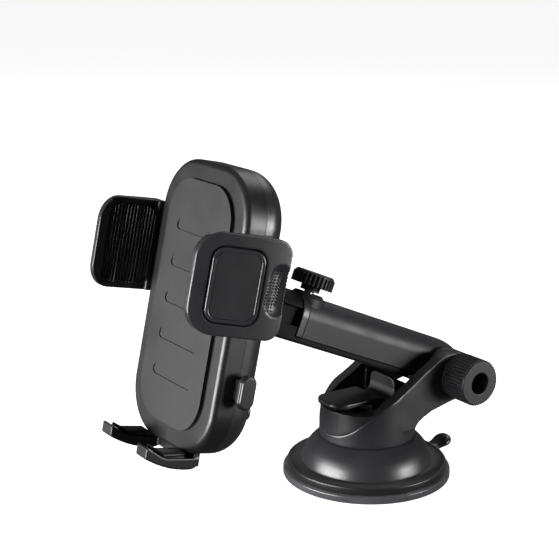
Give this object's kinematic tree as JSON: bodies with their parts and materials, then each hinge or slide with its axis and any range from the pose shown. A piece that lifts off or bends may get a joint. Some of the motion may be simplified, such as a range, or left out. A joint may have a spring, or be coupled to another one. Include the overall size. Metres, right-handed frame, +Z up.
{
  "type": "car phone mount",
  "caption": "Dashboard mount with a lever suction base, a telescopic pivoting arm, a ball joint and a side-clamp cradle with sliding foot and release buttons.",
  "frame": {"origin": "centre of the suction face, on the dashboard surface", "axes": "+Z up away from the dashboard, +X towards the clamp knob's side, -Y the way the held device faces"},
  "size_m": [0.0916, 0.158, 0.1387],
  "materials": {
    "gel": "smooth tacky gel",
    "cup_rubber": "soft black rubber",
    "housing_plastic": "fine-grained charcoal plastic",
    "dark_plastic": "fine-grained near-black plastic",
    "knob_plastic": "ribbed near-black plastic",
    "grip_rubber": "soft black grip rubber",
    "trim_plastic": "satin bevelled trim",
    "inner_plastic": "natural low-friction plastic",
    "steel": "turned steel",
    "brass": "turned brass"
  },
  "bodies": {
    "base": {"gel_pad": "gel", "suction_cup": "cup_rubber", "dome_cover": "housing_plastic", "lever_barrel": "housing_plastic", "yoke_housing": "housing_plastic", "base_screws": "steel", "pivot_bolt": "steel", "pivot_washers": "inner_plastic"},
    "stem": {"suction_stem": "dark_plastic", "lever_pin": "steel"},
    "lever": {"suction_lever": "housing_plastic"},
    "knob": {"clamp_knob": "knob_plastic", "knob_nut": "brass"},
    "tube": {"outer_arm": "housing_plastic", "arm_collar": "housing_plastic", "thread_insert": "brass", "brake_shoe": "grip_rubber"},
    "thumb_screw": {"thumb_head": "knob_plastic", "thumb_shaft": "steel"},
    "extension": {"inner_arm": "dark_plastic", "ball_stud": "steel"},
    "ball_pitch_ring": {"pitch_liner": "inner_plastic"},
    "ball_yaw_ring": {"yaw_liner": "inner_plastic"},
    "cradle": {"rear_shell": "housing_plastic", "front_shell": "dark_plastic", "front_pad": "grip_rubber", "shell_screws": "steel", "pinion_pin": "steel", "pinion_spring": "steel", "pawl_pin": "steel"},
    "nut": {"lock_nut": "knob_plastic"},
    "right_clamp": {"right_jaw": "housing_plastic", "right_pad": "grip_rubber", "right_trim": "trim_plastic", "right_insert": "housing_plastic"},
    "left_clamp": {"left_jaw": "housing_plastic", "left_pad": "grip_rubber", "left_trim": "trim_plastic", "left_insert": "housing_plastic"},
    "gear": {"pinion": "inner_plastic"},
    "right_release": {"right_button": "dark_plastic", "right_button_spring": "steel"},
    "left_release": {"left_button": "dark_plastic", "left_button_spring": "steel"},
    "latch": {"latch_pawl": "inner_plastic"},
    "foot_rest": {"foot": "dark_plastic", "foot_pads": "grip_rubber"}
  },
  "joints": [
    {"name": "stem_lift", "type": "slide", "parent": "base", "child": "stem", "axis": [0, 0, 1], "range_m": [-0.0016, 0]},
    {"name": "lever_turn", "type": "hinge", "parent": "stem", "child": "lever", "pos_m": [0, 0, 0.0275], "axis": [-1, 0, 0], "range_deg": [0, 40]},
    {"name": "knob_turn", "type": "hinge", "parent": "base", "child": "knob", "pos_m": [0, 0.0325, 0.042], "axis": [1, 0, 0], "continuous": true},
    {"name": "arm_pivot", "type": "hinge", "parent": "base", "child": "tube", "pos_m": [0, 0.0325, 0.042], "axis": [-1, 0, 0], "range_deg": [-5, 110]},
    {"name": "arm_extend", "type": "slide", "parent": "tube", "child": "extension", "axis": [0, -0.9171, 0.3987], "range_m": [0, 0.04]},
    {"name": "thumb_turn", "type": "hinge", "parent": "tube", "child": "thumb_screw", "pos_m": [0, -0.03518, 0.07143], "axis": [0, 0.3987, 0.9171], "continuous": true},
    {"name": "ball_pitch", "type": "hinge", "parent": "extension", "child": "ball_pitch_ring", "pos_m": [0, -0.05913, 0.08381], "axis": [1, 0, 0], "range_deg": [-27, 4]},
    {"name": "ball_yaw", "type": "hinge", "parent": "ball_pitch_ring", "child": "ball_yaw_ring", "pos_m": [0, -0.05913, 0.08381], "axis": [0, 0.2113, 0.9774], "range_deg": [-14, 14]},
    {"name": "ball_spin", "type": "hinge", "parent": "ball_yaw_ring", "child": "cradle", "pos_m": [0, -0.05913, 0.08381], "axis": [0, -0.9774, 0.2113], "continuous": true},
    {"name": "nut_turn", "type": "hinge", "parent": "cradle", "child": "nut", "pos_m": [0, -0.05913, 0.08381], "axis": [0, -0.9774, 0.2113], "range_deg": [-270, 0]},
    {"name": "right_jaw_slide", "type": "slide", "parent": "cradle", "child": "right_clamp", "axis": [1, 0, 0], "range_m": [-0.005, 0.012]},
    {"name": "left_jaw_slide", "type": "slide", "parent": "cradle", "child": "left_clamp", "axis": [-1, 0, 0], "range_m": [-0.005, 0.012]},
    {"name": "pinion_turn", "type": "hinge", "parent": "cradle", "child": "gear", "pos_m": [0, -0.07208, 0.0996], "axis": [0, -0.9774, 0.2113], "range_deg": [-116, 49]},
    {"name": "right_press", "type": "slide", "parent": "cradle", "child": "right_release", "axis": [-1, 0, 0], "range_m": [0, 0.0025], "stiffness_N_per_m": 600},
    {"name": "left_press", "type": "slide", "parent": "cradle", "child": "left_release", "axis": [1, 0, 0], "range_m": [0, 0.0025], "stiffness_N_per_m": 600},
    {"name": "pawl_turn", "type": "hinge", "parent": "cradle", "child": "latch", "pos_m": [0.01, -0.07733, 0.07536], "axis": [0, 0.9774, -0.2113], "range_deg": [0, 8.5]},
    {"name": "foot_slide", "type": "slide", "parent": "cradle", "child": "foot_rest", "axis": [0, -0.2113, -0.9774], "range_m": [0, 0.018]}
  ],
  "couplings": [
    {"joint": "stem_lift", "follows": "lever_turn", "m_per_rad": -0.00214},
    {"joint": "left_jaw_slide", "follows": "right_jaw_slide", "ratio": 1},
    {"joint": "pinion_turn", "follows": "right_jaw_slide", "rad_per_m": -166.67},
    {"joint": "pawl_turn", "follows": "right_press", "rad_per_m": 55.85}
  ]
}
